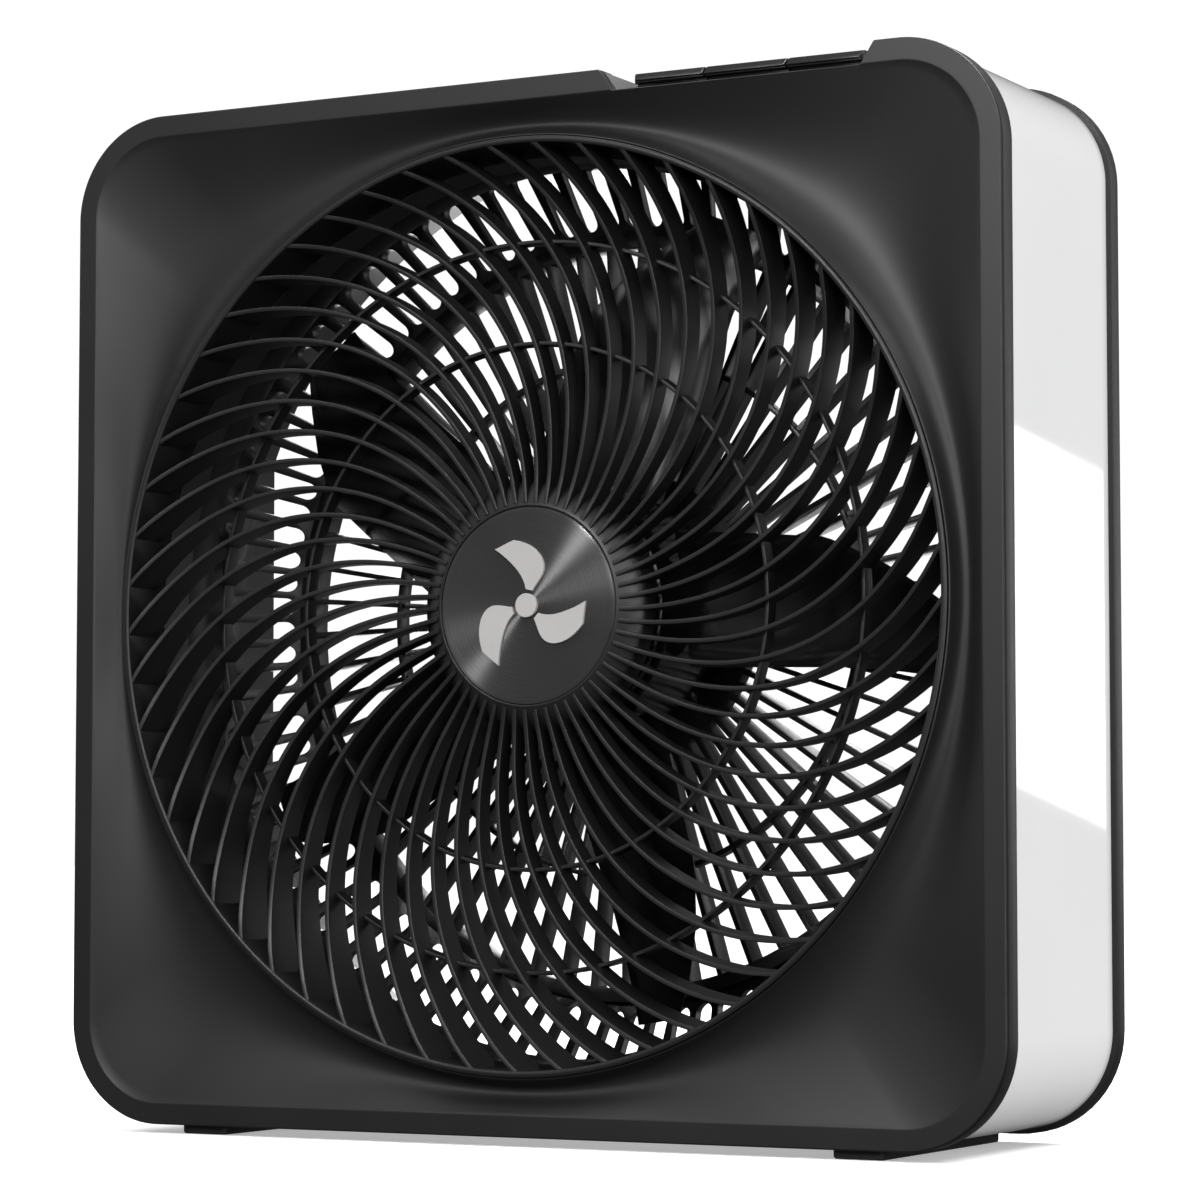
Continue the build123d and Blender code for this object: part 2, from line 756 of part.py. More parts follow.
def blade_section(inner_x, low, high):
    """Thin cambered section across a blade: low and high are its (z, depth) ends."""
    plane = Plane(origin=(inner_x, -DEPTH / 2, AXIS_Z), x_dir=(0, 0, 1), z_dir=(-1, 0, 0))
    middle = ((low[0] + high[0]) / 2, (low[1] + high[1]) / 2 + 3)
    with BuildSketch(plane) as section:
        with BuildLine():
            ThreePointArc(low, middle, high)
            Line(high, (high[0], high[1] + 0.8))
            crown = (middle[0], middle[1] + BLADE_THICKNESS)
            ThreePointArc((high[0], high[1] + 0.8), crown, (low[0], low[1] + 0.8))
            Line((low[0], low[1] + 0.8), low)
        make_face()
    return section.sketch


blade_root = blade_section(HUB_R - 1.5, (-19, 47), (24, 33))
blade_corner = blade_section(95, (-21, 51), (20.5, 34))
blade_tip = blade_section(TIP_R - 1, (-26, 55), (-6, 47.5))

with BuildPart() as blade:
    loft([blade_root, blade_corner, blade_tip], ruled=True)

with BuildPart() as impeller:
    with BuildSketch(turned):
        with BuildLine():
            Polyline(
                (HUB_D, SHAFT_R),
                (HUB_D, HUB_R - 5),
                (HUB_D + 1.5, HUB_R - 1.5),
                (HUB_D + 5, HUB_R),
                (60, HUB_R),
                (60, HUB_R - HUB_WALL),
                (HUB_D + HUB_WALL + 2, HUB_R - HUB_WALL),
                (HUB_D + HUB_WALL, HUB_R - 6),
                (HUB_D + HUB_WALL, 9),
                (38.5, 9),
                (38.5, SHAFT_R),
                close=True,
            )
        make_face()
    revolve(axis=fan_axis)
    add([blade.part.rotate(fan_axis, -index * 360 / BLADES) for index in range(BLADES)])
save(impeller, "impeller")

with BuildPart() as impeller_nut:
    with BuildSketch(face_at(HUB_D)):
        RegularPolygon(8, 6)
        Circle(SHAFT_R, mode=Mode.SUBTRACT)
    extrude(amount=4.6)
save(impeller_nut, "impeller_nut")

# ---------------------------------------------------------------- controls
PANEL_TOP = HALF - 0.4
POCKET_FLOOR = HALF - POCKET_DEPTH
WELL_BACK_D = CAP_FRONT_D + CAP_LENGTH + 0.4
ROW_WIDTH = sum(CAP_WIDTHS.values()) + 2 * CAP_GAP
POST_X = (PANEL_X - 36, PANEL_X + 36)
POST_D = 36

cap_centres = {}
row_x = PANEL_X - ROW_WIDTH / 2 - 0.9
for cap_name, cap_width in CAP_WIDTHS.items():
    cap_centres[cap_name] = row_x + cap_width / 2
    row_x += cap_width + CAP_GAP

with BuildPart() as control_tray:
    with BuildSketch(level_at(POCKET_FLOOR - 3)):
        with Locations((PANEL_X, (WALL + 0.2 + TRAY_BACK_D) / 2)):
            Rectangle(TRAY_WIDTH - 0.4, TRAY_BACK_D - WALL - 0.2)
    extrude(amount=PANEL_TOP - POCKET_FLOOR + 3)
    # pocket with slanted ends, open to the front
    with BuildSketch(face_at(0)):
        with BuildLine():
            Polyline(
                (PANEL_X - NOTCH_TOP / 2 + 0.6, HALF),
                (PANEL_X - NOTCH_BOTTOM / 2 + 0.6, POCKET_FLOOR),
                (PANEL_X + NOTCH_BOTTOM / 2 - 0.6, POCKET_FLOOR),
                (PANEL_X + NOTCH_TOP / 2 - 0.6, HALF),
                close=True,
            )
        make_face()
    extrude(amount=-WELL_BACK_D - 2, mode=Mode.SUBTRACT)
    with BuildSketch(level_at(POCKET_FLOOR - 4)):
        for centre in cap_centres.values():
            with Locations((centre, CAP_FRONT_D + CAP_LENGTH / 2)):
                Circle(STEM_R + 0.5)
    extrude(amount=6, mode=Mode.SUBTRACT)
    # posts that carry the board
    with BuildSketch(level_at(BOARD_TOP)):
        for post_x in POST_X:
            with Locations((post_x, POST_D)):
                Circle(3)
    extrude(amount=POCKET_FLOOR - 3 - BOARD_TOP)
    with BuildSketch(level_at(BOARD_TOP - 1)):
        for post_x in POST_X:
            with Locations((post_x, POST_D)):
                Circle(1.15)
    extrude(amount=8, mode=Mode.SUBTRACT)
save(control_tray, "control_tray")

for cap_name, cap_width in CAP_WIDTHS.items():
    centre = cap_centres[cap_name]
    with BuildPart() as cap:
        # side profile with the sloping front face
        with BuildSketch(turned.offset(centre - cap_width / 2)):
            with BuildLine():
                Polyline(
                    (CAP_FRONT_D, HALF - 2.35),
                    (CAP_FRONT_D + 2.3, HALF - 0.15),
                    (CAP_FRONT_D + 2.8, HALF),
                    (CAP_FRONT_D + CAP_LENGTH, HALF),
                    (CAP_FRONT_D + CAP_LENGTH, HALF - CAP_HEIGHT),
                    (CAP_FRONT_D + 3.8, HALF - CAP_HEIGHT),
                    (CAP_FRONT_D + 3.8, HALF - 3.3),
                    (CAP_FRONT_D + 0.9, HALF - 3.3),
                    (CAP_FRONT_D + 0.9, HALF - 2.8),
                    (CAP_FRONT_D, HALF - 2.7),
                    close=True,
                )
            make_face()
        extrude(amount=cap_width)
        if cap_name != "centre":
            # rounded outer end of the row
            with BuildSketch(level_at(HALF - CAP_HEIGHT)):
                with Locations((centre, CAP_FRONT_D + CAP_LENGTH / 2)):
                    Rectangle(cap_width, CAP_LENGTH)
                ends = vertices().group_by(Axis.X)
                fillet(ends[0] if cap_name == "left" else ends[-1], 2.5)
            extrude(amount=CAP_HEIGHT, mode=Mode.INTERSECT)
        with BuildSketch(level_at(HALF - CAP_HEIGHT)):
            with Locations((centre, CAP_FRONT_D + 10.65)):
                Rectangle(cap_width - 2 * CAP_WALL, CAP_LENGTH - 5.9)
        extrude(amount=CAP_HEIGHT - CAP_WALL, mode=Mode.SUBTRACT)
        with BuildSketch(level_at(BOARD_TOP + 7.2)):
            with Locations((centre, CAP_FRONT_D + CAP_LENGTH / 2)):
                Circle(STEM_R)
        extrude(amount=HALF - 1 - BOARD_TOP - 7.2)
    save(cap, f"button_{cap_name}")

for cap_name, centre in cap_centres.items():
    spring_foot = Plane(
        origin=(centre, CAP_FRONT_D + CAP_LENGTH / 2 - DEPTH / 2, AXIS_Z + POCKET_FLOOR + 0.35),
        x_dir=(1, 0, 0),
        z_dir=(0, 0, 1),
    )
    with BuildPart() as spring:
        with BuildLine(spring_foot):
            turns = Helix(pitch=1.15, height=4.6, radius=3.5)
        with BuildSketch(Plane(turns @ 0, z_dir=turns % 0)):
            Circle(0.3)
        sweep(path=turns, is_frenet=True)
    save(spring, f"spring_{cap_name}")

with BuildPart() as control_board:
    with BuildSketch(level_at(BOARD_TOP)):
        with Locations((PANEL_X + 1, 31.7)):
            Rectangle(78, 39.4)
        for post_x in POST_X:
            with Locations((post_x, POST_D)):
                Circle(1.3, mode=Mode.SUBTRACT)
    extrude(amount=-1.6)
save(control_board, "control_board")

with BuildPart() as board_screws:
    with BuildSketch(level_at(BOARD_TOP - 3.4)):
        for post_x in POST_X:
            with Locations((post_x, POST_D)):
                Circle(2.4)
    extrude(amount=1.8)
    with BuildSketch(level_at(BOARD_TOP - 1.6)):
        for post_x in POST_X:
            with Locations((post_x, POST_D)):
                Circle(1.1)
    extrude(amount=7)
save(board_screws, "board_screws")

with BuildPart() as tact_switches:
    for centre in cap_centres.values():
        with BuildSketch(level_at(BOARD_TOP)):
            with Locations((centre, CAP_FRONT_D + CAP_LENGTH / 2)):
                Rectangle(6, 6)
        extrude(amount=3.5)
        with BuildSketch(level_at(BOARD_TOP + 3.5)):
            with Locations((centre, CAP_FRONT_D + CAP_LENGTH / 2)):
                Circle(1.7)
        extrude(amount=2.1)
save(tact_switches, "tact_switches")

with BuildPart() as run_capacitor:
    with BuildSketch(level_at(BOARD_TOP)):
        with Locations((PANEL_X + 24, 46)):
            Rectangle(22, 11)
    extrude(amount=9.5)
    fillet(run_capacitor.edges().filter_by(Axis.Z), 1.5)
save(run_capacitor, "run_capacitor")

with BuildPart() as terminal_block:
    with BuildSketch(level_at(BOARD_TOP)):
        with Locations((PANEL_X - 22, 47)):
            Rectangle(15, 8)
    extrude(amount=9)
    with BuildSketch(face_at(52)):
        with Locations((PANEL_X - 25.5, BOARD_TOP + 4), (PANEL_X - 18.5, BOARD_TOP + 4)):
            Circle(1.6)
    extrude(amount=6, mode=Mode.SUBTRACT)
save(terminal_block, "terminal_block")

with BuildPart() as motor_harness:
    with BuildLine(harness_plane):
        wire = Line((0, 0, 40.5), (0, 0, INTAKE_R + 6))
    with BuildSketch(Plane(wire @ 0, z_dir=wire % 0)):
        Circle(1.5)
    sweep(path=wire)
save(motor_harness, "motor_harness")

# ---------------------------------------------------------------- feet
for side, foot_name in ((-1, "foot_left"), (1, "foot_right")):
    with BuildPart() as foot:
        with BuildSketch(Plane.XY):
            with Locations((side * 119.3, 0)):
                RectangleRounded(17.6, 92, 2)
        extrude(amount=FOOT_HEIGHT)
        chamfer(foot.faces().sort_by(Axis.Z)[0].edges(), 0.6)
        # pegs and pads reach up to the recessed side shell
        with BuildSketch(Plane.XY.offset(FOOT_HEIGHT - 0.4)):
            with Locations((side * 119.3, (FRAME_D + FLANGE_D) / 2 - DEPTH / 2)):
                Rectangle(15, FLANGE_D - FRAME_D - 1)
        extrude(amount=SHELL_INSET + 0.4)
        with BuildSketch(Plane.XY.offset(FOOT_HEIGHT)):
            with Locations((side * 119.3, 30 - DEPTH / 2), (side * 119.3, 72 - DEPTH / 2)):
                Circle(2.5)
        extrude(amount=7)
    save(foot, foot_name)
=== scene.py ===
import math
import bmesh
import bpy
import numpy as np
from mathutils import Matrix, Vector

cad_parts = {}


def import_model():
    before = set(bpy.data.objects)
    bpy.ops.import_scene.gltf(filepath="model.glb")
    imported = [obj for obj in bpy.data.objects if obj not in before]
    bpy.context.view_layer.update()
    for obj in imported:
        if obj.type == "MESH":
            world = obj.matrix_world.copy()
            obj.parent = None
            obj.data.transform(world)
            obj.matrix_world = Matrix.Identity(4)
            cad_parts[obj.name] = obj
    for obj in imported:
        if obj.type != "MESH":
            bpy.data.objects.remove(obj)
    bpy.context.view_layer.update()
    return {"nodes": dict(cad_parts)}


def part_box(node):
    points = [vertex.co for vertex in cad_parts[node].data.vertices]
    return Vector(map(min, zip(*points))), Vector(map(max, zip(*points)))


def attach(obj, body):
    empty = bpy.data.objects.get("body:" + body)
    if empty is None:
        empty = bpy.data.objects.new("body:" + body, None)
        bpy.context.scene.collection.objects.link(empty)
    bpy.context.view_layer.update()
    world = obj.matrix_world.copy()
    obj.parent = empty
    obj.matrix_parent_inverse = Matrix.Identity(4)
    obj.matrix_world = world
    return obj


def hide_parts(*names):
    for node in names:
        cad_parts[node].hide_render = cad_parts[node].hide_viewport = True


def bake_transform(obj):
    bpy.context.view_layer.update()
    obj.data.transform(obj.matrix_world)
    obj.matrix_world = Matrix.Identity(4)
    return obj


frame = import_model()

# Box fan. Lengths here are millimetres; "depth" is measured back from the front border plane,
# x and z from the fan axis.
MM = 0.001
bezel_lo, bezel_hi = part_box("front_bezel")
FRONT = bezel_lo.y
AXIS = (bezel_lo.z + bezel_hi.z) / 2
HALF = (bezel_hi.x - bezel_lo.x) / 2 / MM
CORNER = 34.0


def depth_of(y):
    return (y - FRONT) / MM


def span(node):
    """Low and high (x, depth, z) of a CAD node, in millimetres from the fan axis and the front plane."""
    lo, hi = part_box(node)
    return (
        np.array([lo.x / MM, depth_of(lo.y), (lo.z - AXIS) / MM]),
        np.array([hi.x / MM, depth_of(hi.y), (hi.z - AXIS) / MM]),
    )


def world(x, depth, z):
    """Row-frame points in metres."""
    x, depth, z = np.broadcast_arrays(np.asarray(x, float), depth, z)
    return np.stack([x * MM, FRONT + depth * MM, AXIS + z * MM], -1)


# ------------------------------------------------------------------ mesh tools
def make(name, verts, faces, material, body, slot, *nodes, angle=35):
    """New smooth-shaded piece from vertices and faces; it rides on a body and stands for CAD nodes."""
    mesh = bpy.data.meshes.new(name)
    points = [tuple(v) for v in np.asarray(verts, float).reshape(-1, 3)]
    mesh.from_pydata(points, [], [tuple(f) for f in faces])
    mesh.validate()
    bm = bmesh.new()
    bm.from_mesh(mesh)
    bmesh.ops.remove_doubles(bm, verts=bm.verts, dist=1e-6)
    bmesh.ops.dissolve_degenerate(bm, dist=1e-6, edges=bm.edges)
    bmesh.ops.recalc_face_normals(bm, faces=bm.faces)
    bm.to_mesh(mesh)
    bm.free()
    return finish_piece(bpy.data.objects.new(name, mesh), material, body, slot, *nodes, angle=angle)


def finish_piece(obj, material, body, slot, *nodes, angle=35):
    if obj.name not in bpy.context.scene.collection.objects:
        bpy.context.scene.collection.objects.link(obj)
    obj.data.materials.clear()
    obj.data.materials.append(material)
    obj.data.shade_smooth()
    obj.data.set_sharp_from_angle(angle=math.radians(angle))
    if body:
        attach(obj, body)
    if nodes:
        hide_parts(*nodes)
    return obj


def apply_modifiers(obj):
    depsgraph = bpy.context.evaluated_depsgraph_get()
    mesh = bpy.data.meshes.new_from_object(obj.evaluated_get(depsgraph))
    obj.modifiers.clear()
    obj.data = mesh


def grid(rows, wrap_rows=False, wrap_cols=True):
    """Vertices and quads of a grid given as an array (rows, columns, 3)."""
    rows = np.asarray(rows, float)
    m, n = rows.shape[:2]
    index = np.arange(m * n).reshape(m, n)
    a = index if wrap_rows else index[:-1]
    b = np.roll(index, -1, 0) if wrap_rows else index[1:]
    if wrap_cols:
        quads = np.stack([a, np.roll(a, -1, 1), np.roll(b, -1, 1), b], -1)
    else:
        quads = np.stack([a[:, :-1], a[:, 1:], b[:, 1:], b[:, :-1]], -1)
    return rows.reshape(-1, 3), quads.reshape(-1, 4)


class Soup:
    """Collects parts of one piece."""

    def __init__(self):
        self.verts, self.faces, self.count = [], [], 0

    def add(self, verts, faces):
        verts = np.asarray(verts, float).reshape(-1, 3)
        self.verts.append(verts)
        self.faces += [tuple(int(i) + self.count for i in f) for f in faces]
        self.count += len(verts)

    def all(self):
        return np.concatenate(self.verts), self.faces


def lathe(profile, steps):
    """Closed surface turned about the fan axis from (depth, radius) pairs."""
    profile = np.asarray(profile, float)
    turn = np.linspace(0, 2 * np.pi, steps, endpoint=False)
    rows = [world(r * np.cos(turn), d, r * np.sin(turn)) for d, r in profile]
    return grid(rows, wrap_rows=True)


def rounded(points, radius, steps=4):
    """Closed 2-D outline with its corners rounded; radius may be one number or one per corner."""
    points = np.asarray(points, float)
    n = len(points)
    radii = np.full(n, radius, float) if np.isscalar(radius) else np.asarray(radius, float)
    out = []
    for i in range(n):
        p, a, b = points[i], points[i - 1], points[(i + 1) % n]
        u, v = a - p, b - p
        lu, lv = np.linalg.norm(u), np.linalg.norm(v)
        u, v = u / lu, v / lv
        half = math.acos(np.clip(u @ v, -1, 1)) / 2
        cut = min(radii[i] / max(math.tan(half), 1e-6), lu * 0.49, lv * 0.49)
        if cut < 1e-4 or half > math.radians(88):
            out.append(p)
            continue
        p0, p1 = p + u * cut, p + v * cut
        for t in np.linspace(0, 1, steps + 1):
            out.append((1 - t) ** 2 * p0 + 2 * t * (1 - t) * p + t**2 * p1)
    return np.array(out)


BEVEL_FROM = 32


def refined(node, material, body, slot, width, segments=2):
    """Copy of a CAD node with its edges rounded, standing for it."""
    source = frame["nodes"][node]
    mesh = source.data.copy()
    bm = bmesh.new()
    bm.from_mesh(mesh)
    bmesh.ops.remove_doubles(bm, verts=bm.verts, dist=2e-6)
    bmesh.ops.dissolve_limit(bm, angle_limit=math.radians(1), verts=bm.verts, edges=bm.edges)
    bm.to_mesh(mesh)
    bm.free()
    obj = bpy.data.objects.new(node + "_body", mesh)
    bpy.context.scene.collection.objects.link(obj)
    bevel = obj.modifiers.new("edges", "BEVEL")
    bevel.width = width * MM
    bevel.segments = segments
    bevel.limit_method = "ANGLE"
    bevel.angle_limit = math.radians(BEVEL_FROM)
    bevel.use_clamp_overlap = True
    bevel.harden_normals = False
    apply_modifiers(obj)
    return finish_piece(obj, material, body, slot, node, angle=40)


# ------------------------------------------------------------------ materials
def new_material(name):
    material = bpy.data.materials.new(name)
    material.use_nodes = True
    tree = material.node_tree
    shader = tree.nodes["Principled BSDF"]
    return material, tree, shader


def noise(tree, scale, detail, rough=0.5):
    where = tree.nodes.new("ShaderNodeTexCoord")
    node = tree.nodes.new("ShaderNodeTexNoise")
    node.inputs["Scale"].default_value = scale
    node.inputs["Detail"].default_value = detail
    node.inputs["Roughness"].default_value = rough
    tree.links.new(where.outputs["Object"], node.inputs["Vector"])
    return node


def ramp(tree, source, low, high):
    node = tree.nodes.new("ShaderNodeMapRange")
    node.inputs["From Min"].default_value = 0.3
    node.inputs["From Max"].default_value = 0.7
    node.inputs["To Min"].default_value = low
    node.inputs["To Max"].default_value = high
    tree.links.new(source, node.inputs["Value"])
    return node.outputs["Result"]


def tint(tree, source, dark, light):
    node = tree.nodes.new("ShaderNodeMix")
    node.data_type = "RGBA"
    node.inputs["A"].default_value = (*dark, 1)
    node.inputs["B"].default_value = (*light, 1)
    tree.links.new(source, node.inputs["Factor"])
    return node.outputs["Result"]


def plastic(name, dark, light, rough, grain=2600, bump=0.02, specular=0.5):
    """Moulded plastic: slow colour drift, fine mould texture in the gloss and the relief."""
    material, tree, shader = new_material(name)
    slow = noise(tree, 22, 3)
    fine = noise(tree, grain, 3, 0.6)
    colour = tint(tree, ramp(tree, slow.outputs["Fac"], 0, 1), dark, light)
    tree.links.new(colour, shader.inputs["Base Color"])
    gloss = tree.nodes.new("ShaderNodeMath")
    gloss.operation = "ADD"
    tree.links.new(ramp(tree, slow.outputs["Fac"], rough[0], (rough[0] + rough[1]) / 2), gloss.inputs[0])
    tree.links.new(ramp(tree, fine.outputs["Fac"], 0, (rough[1] - rough[0]) / 2), gloss.inputs[1])
    tree.links.new(gloss.outputs["Value"], shader.inputs["Roughness"])
    relief = tree.nodes.new("ShaderNodeBump")
    relief.inputs["Strength"].default_value = bump
    relief.inputs["Distance"].default_value = 0.00006
    tree.links.new(fine.outputs["Fac"], relief.inputs["Height"])
    tree.links.new(relief.outputs["Normal"], shader.inputs["Normal"])
    shader.inputs["Specular IOR Level"].default_value = specular
    return material


def metal(name, dark, light, rough, stretch=(1, 1, 1), grain=900, bump=0.05):
    """Metal with drawn or cast texture."""
    material, tree, shader = new_material(name)
    where = tree.nodes.new("ShaderNodeTexCoord")
    mapping = tree.nodes.new("ShaderNodeMapping")
    mapping.inputs["Scale"].default_value = stretch
    tree.links.new(where.outputs["Object"], mapping.inputs["Vector"])
    node = tree.nodes.new("ShaderNodeTexNoise")
    node.inputs["Scale"].default_value = grain
    node.inputs["Detail"].default_value = 4
    tree.links.new(mapping.outputs["Vector"], node.inputs["Vector"])
    colour = tint(tree, ramp(tree, node.outputs["Fac"], 0, 1), dark, light)
    tree.links.new(colour, shader.inputs["Base Color"])
    tree.links.new(ramp(tree, node.outputs["Fac"], *rough), shader.inputs["Roughness"])
    relief = tree.nodes.new("ShaderNodeBump")
    relief.inputs["Strength"].default_value = bump
    relief.inputs["Distance"].default_value = 0.00005
    tree.links.new(node.outputs["Fac"], relief.inputs["Height"])
    tree.links.new(relief.outputs["Normal"], shader.inputs["Normal"])
    shader.inputs["Metallic"].default_value = 1.0
    return material


def spun(name):
    """Spun black metal face: concentric lathe lines with an anisotropic sheen."""
    material, tree, shader = new_material(name)
    where = tree.nodes.new("ShaderNodeTexCoord")
    mapping = tree.nodes.new("ShaderNodeMapping")
    mapping.inputs["Location"].default_value = (0, 0, -AXIS)
    tree.links.new(where.outputs["Object"], mapping.inputs["Vector"])
    split = tree.nodes.new("ShaderNodeSeparateXYZ")
    tree.links.new(mapping.outputs["Vector"], split.inputs["Vector"])
    flat = tree.nodes.new("ShaderNodeCombineXYZ")
    tree.links.new(split.outputs["X"], flat.inputs["X"])
    tree.links.new(split.outputs["Z"], flat.inputs["Y"])
    radius = tree.nodes.new("ShaderNodeVectorMath")
    radius.operation = "LENGTH"
    tree.links.new(flat.outputs["Vector"], radius.inputs[0])
    lines = tree.nodes.new("ShaderNodeTexNoise")
    lines.noise_dimensions = "1D"
    lines.inputs["Scale"].default_value = 5200
    lines.inputs["Detail"].default_value = 5
    tree.links.new(radius.outputs["Value"], lines.inputs["W"])
    colour = tint(tree, ramp(tree, lines.outputs["Fac"], 0, 1), (0.024, 0.024, 0.025), (0.036, 0.036, 0.037))
    tree.links.new(colour, shader.inputs["Base Color"])
    tree.links.new(ramp(tree, lines.outputs["Fac"], 0.26, 0.30), shader.inputs["Roughness"])
    relief = tree.nodes.new("ShaderNodeBump")
    relief.inputs["Strength"].default_value = 0.05
    relief.inputs["Distance"].default_value = 0.00002
    tree.links.new(lines.outputs["Fac"], relief.inputs["Height"])
    tree.links.new(relief.outputs["Normal"], shader.inputs["Normal"])
    tangent = tree.nodes.new("ShaderNodeTangent")
    tangent.direction_type = "RADIAL"
    tangent.axis = "Y"
    tree.links.new(tangent.outputs["Tangent"], shader.inputs["Tangent"])
    shader.inputs["Metallic"].default_value = 0.0
    shader.inputs["Specular IOR Level"].default_value = 1.0
    shader.inputs["Anisotropic"].default_value = 1.0
    shader.inputs["Anisotropic Rotation"].default_value = 0.25
    return material


BLACK = ((0.0085, 0.0085, 0.0088), (0.0105, 0.0105, 0.0108))
DUCT = ((0.006, 0.006, 0.006), (0.008, 0.008, 0.008))
BLADE = ((0.004, 0.004, 0.004), (0.005, 0.005, 0.005))
RUBBER = ((0.012, 0.012, 0.012), (0.018, 0.018, 0.018))
SHELL = ((0.77, 0.77, 0.775), (0.79, 0.79, 0.79))
SILVER = ((0.50, 0.495, 0.485), (0.56, 0.55, 0.54))
BOARD = ((0.01, 0.07, 0.03), (0.015, 0.10, 0.045))
BOX = ((0.10, 0.10, 0.11), (0.13, 0.13, 0.14))
TERMINAL = ((0.55, 0.54, 0.50), (0.62, 0.61, 0.57))
SLEEVE = ((0.05, 0.05, 0.055), (0.07, 0.07, 0.075))
BLUED = ((0.05, 0.05, 0.055), (0.08, 0.08, 0.085))
ZINC = ((0.42, 0.43, 0.44), (0.55, 0.56, 0.57))
ALU = ((0.35, 0.35, 0.36), (0.46, 0.46, 0.47))
IRON = ((0.14, 0.14, 0.15), (0.26, 0.26, 0.28))
COPPER = ((0.36, 0.13, 0.06), (0.55, 0.24, 0.12))
BRONZE = ((0.38, 0.26, 0.12), (0.5, 0.36, 0.18))

front_black = plastic("satin black moulding", *BLACK, (0.42, 0.48))
guard_black = plastic("guard black moulding", *BLACK, (0.34, 0.42), grain=2200)
duct_black = plastic("matte black duct", *DUCT, (0.40, 0.5), grain=1500)
blade_black = plastic("impeller black moulding", *BLADE, (0.16, 0.20), specular=0.35)
key_black = plastic("key black moulding", *BLACK, (0.26, 0.32), grain=3200)
rubber_black = plastic("black rubber", *RUBBER, (0.6, 0.75), grain=1400, bump=0.08)
shell_white = plastic("gloss white shell", *SHELL, (0.03, 0.045), grain=500, bump=0.002)
spring_steel = metal("blackened spring steel", *BLUED, (0.35, 0.5))
disc_black = spun("spun black disc")
emblem_silver = plastic("satin silver emblem", *SILVER, (0.34, 0.42), grain=1600)
zinc = metal("zinc plated steel", *ZINC, (0.25, 0.4))
alu = metal("pressed aluminium", *ALU, (0.3, 0.45), (1, 6, 1))
laminate = metal("stacked steel laminations", *IRON, (0.35, 0.5), (0.05, 12, 0.05), 260)
copper = metal("enamelled copper turns", *COPPER, (0.25, 0.4), grain=1200, bump=0.25)
bronze = metal("sintered bronze", *BRONZE, (0.35, 0.5), grain=3000)
board_green = plastic("green board coat", *BOARD, (0.25, 0.35), grain=800)
box_grey = plastic("grey capacitor box", *BOX, (0.45, 0.55))
terminal_white = plastic("off-white terminal", *TERMINAL, (0.4, 0.5))
sleeve_grey = plastic("grey wire sleeve", *SLEEVE, (0.5, 0.6), grain=1800)


# ------------------------------------------------------------------ front bezel
def square_loop(top_marks):
    """Points and outward normals round the body's outline, counter-clockwise seen from the front.
    top_marks are extra places (x) along the top edge."""
    points, normals = [], []
    flat = HALF - CORNER
    side = [np.linspace(-flat, flat, 150)[1:-1]] * 4
    side[1] = np.sort(np.unique(np.concatenate([-side[0], -np.array(top_marks, float)])))
    for k in range(4):
        turn = k * math.pi / 2
        spin = np.array([[math.cos(turn), -math.sin(turn)], [math.sin(turn), math.cos(turn)]])
        for s in side[k]:
            points.append(spin @ (HALF, s))
            normals.append(spin @ (1, 0))
        for a in np.linspace(0, math.pi / 2, 49):
            direction = np.array([math.cos(a), math.sin(a)])
            points.append(spin @ (np.array([flat, flat]) + CORNER * direction))
            normals.append(spin @ direction)
    return np.array(points), np.array(normals)


tray_lo, tray_hi = span("control_tray")
PANEL_X = (tray_lo[0] + tray_hi[0]) / 2
NOTCH_TOP, NOTCH_BOTTOM = 96.3 / 2, 86.8 / 2
NOTCH_FLOOR = HALF - 7.45
corner_marks = [NOTCH_TOP + v for v in (0.25, 0, -0.35)] + [NOTCH_BOTTOM + v for v in (0.6, 0.2, -0.2, -0.8)]
marks = [PANEL_X + side * v for side in (-1, 1) for v in corner_marks]
loop, out = square_loop(marks)


def notch_limit(x):
    """Height of the bezel's top edge: lower inside the notch of the keys."""
    away = np.abs(x - PANEL_X)
    wall = np.clip((away - NOTCH_BOTTOM) / (NOTCH_TOP - NOTCH_BOTTOM), 0, 1)
    return np.where(away > NOTCH_TOP + 0.1, 1e3, NOTCH_FLOOR + wall * (HALF - NOTCH_FLOOR))


def frame_row(inset, depth):
    """Row parallel to the body's outline."""
    p = loop - out * inset
    z = np.where(out[:, 1] > 0.9, np.minimum(p[:, 1], notch_limit(p[:, 0])), p[:, 1])
    return world(p[:, 0], depth, z)


def circle_row(radius, depth, angles):
    return world(radius * np.cos(angles), depth, radius * np.sin(angles))


BORDER = 7.3
LIP_R, LIP_D = 151.9, 1.75
crease = loop - out * BORDER
crease_r = np.linalg.norm(crease, axis=1)
crease_angle = np.arctan2(crease[:, 1], crease[:, 0])


def dish_row(t, sink=0.0):
    """Row of the dished face between the border and the lip; t runs from 0 at the border to 1 at the lip."""
    outer = crease_r - 153.5
    r = [crease_r, crease_r - 0.55 * outer, 153.3 + 0.14 * outer, np.full_like(crease_r, LIP_R)]
    d = [0.12, 7.1, 10.2 + 0.05 * (outer - 9.2), LIP_D]
    w = [(1 - t) ** 3, 3 * t * (1 - t) ** 2, 3 * t * t * (1 - t), t**3]
    radius = sum(a * b for a, b in zip(w, r))
    depth = sum(a * b for a, b in zip(w, d))
    return world(radius * np.cos(crease_angle), depth + sink, radius * np.sin(crease_angle))


